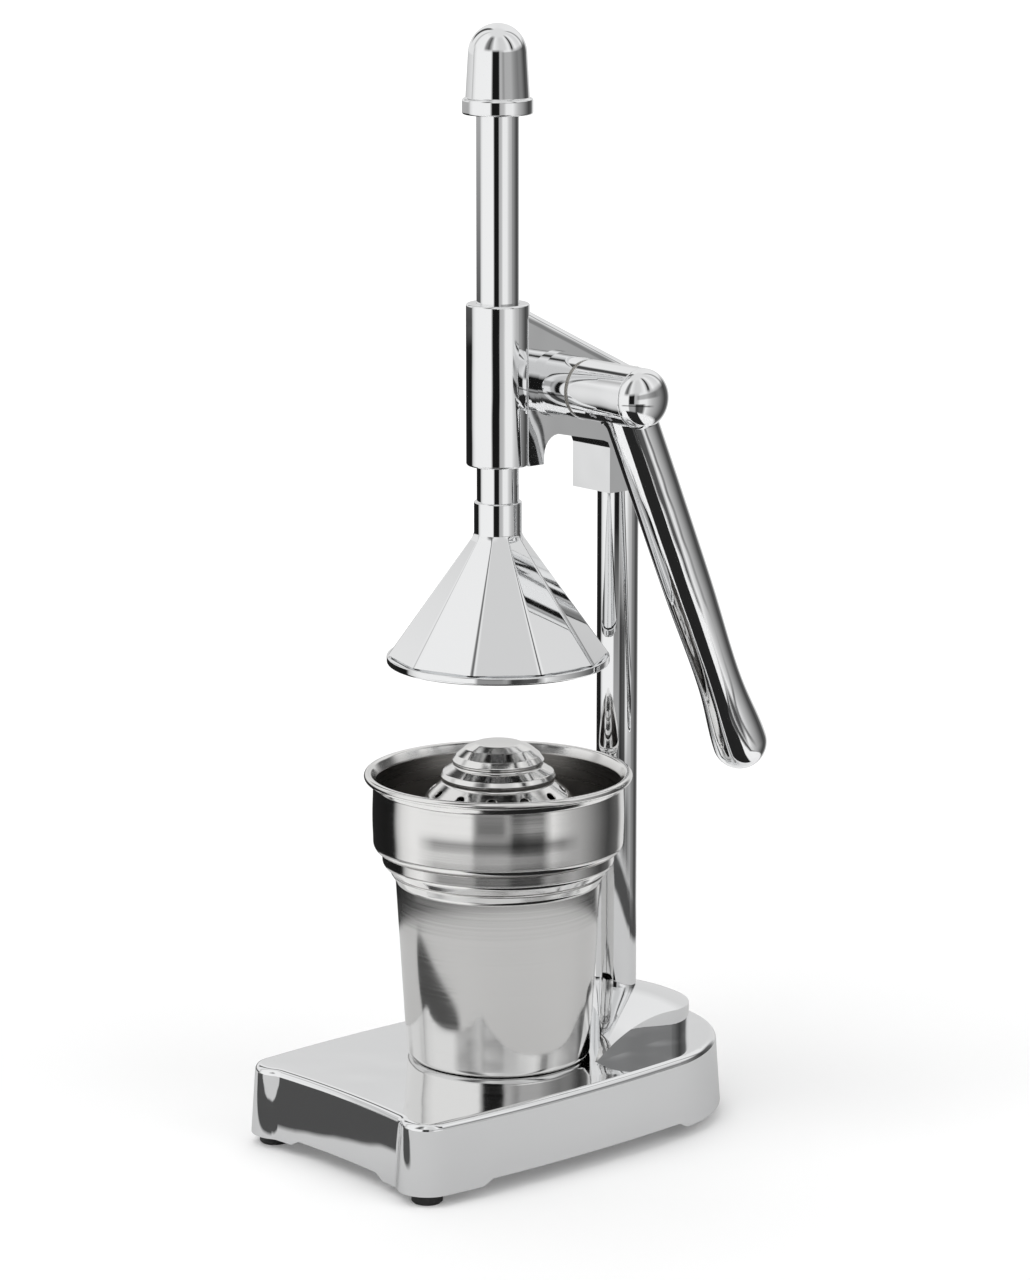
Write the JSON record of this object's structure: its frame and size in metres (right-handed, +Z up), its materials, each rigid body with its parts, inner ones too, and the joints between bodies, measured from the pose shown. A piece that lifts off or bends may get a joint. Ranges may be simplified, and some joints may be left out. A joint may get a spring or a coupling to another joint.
{
  "type": "citrus press juicer",
  "caption": "Chrome lever citrus press: a lever and gear drive a racked plunger with a faceted cone down onto a strainer with a reamer over a cup on a cast base.",
  "frame": {"origin": "on the table, under the middle of the bounding box of the whole press at rest", "axes": "+Z up; the front, where the cup goes in, is -Y and the column stands at the +Y end; the lever is on the +X side; the press axis runs along Z at X = -3.25 mm, Y = -6.25 mm"},
  "size_m": [0.1154, 0.1693, 0.3998],
  "materials": {
    "chrome": "polished",
    "stainless": "polished",
    "plain_steel": "satin",
    "foot_rubber": "matte",
    "nylon": "matte"
  },
  "bodies": {
    "stand": {"base_casting": "chrome", "foot_front_left": "foot_rubber", "foot_front_right": "foot_rubber", "foot_rear_left": "foot_rubber", "foot_rear_right": "foot_rubber", "column_tube": "chrome", "column_plug": "plain_steel", "column_washer": "plain_steel", "column_bolt": "plain_steel", "head_casting": "chrome", "head_set_screw": "plain_steel", "thrust_washer": "nylon"},
    "lever": {"lever_handle": "chrome", "hub_dome_cap": "chrome", "hub_set_screw_1": "plain_steel", "hub_set_screw_2": "plain_steel", "gear_shaft": "plain_steel", "drive_gear": "plain_steel", "shaft_end_washer": "plain_steel", "shaft_end_screw": "plain_steel"},
    "plunger": {"plunger_rack": "chrome", "plunger_dome_cap": "chrome", "press_cone": "chrome", "press_cone_washer": "plain_steel", "press_cone_screw": "plain_steel"},
    "cup": {"juice_cup": "stainless"},
    "strainer": {"strainer_bowl": "stainless", "strainer_floor": "stainless", "reamer_dome": "stainless"}
  },
  "joints": [
    {"name": "lever_swing", "type": "hinge", "parent": "stand", "child": "lever", "pos_m": [-0.00325, 0.01325, 0.2732], "axis": [1, 0, 0], "range_deg": [-13, 246]},
    {"name": "plunger_slide", "type": "slide", "parent": "stand", "child": "plunger", "axis": [0, 0, 1], "range_m": [-0.0581, 0.0032]},
    {"name": "cup_slide", "type": "slide", "parent": "stand", "child": "cup", "axis": [0, -1, 0], "range_m": [0, 0.15]},
    {"name": "strainer_lift", "type": "slide", "parent": "cup", "child": "strainer", "axis": [0, 0, 1], "range_m": [0, 0.0402]}
  ],
  "couplings": [
    {"joint": "plunger_slide", "follows": "lever_swing", "m_per_rad": -0.0135},
    {"joint": "strainer_lift", "follows": "cup_slide", "ratio": 0.267}
  ]
}
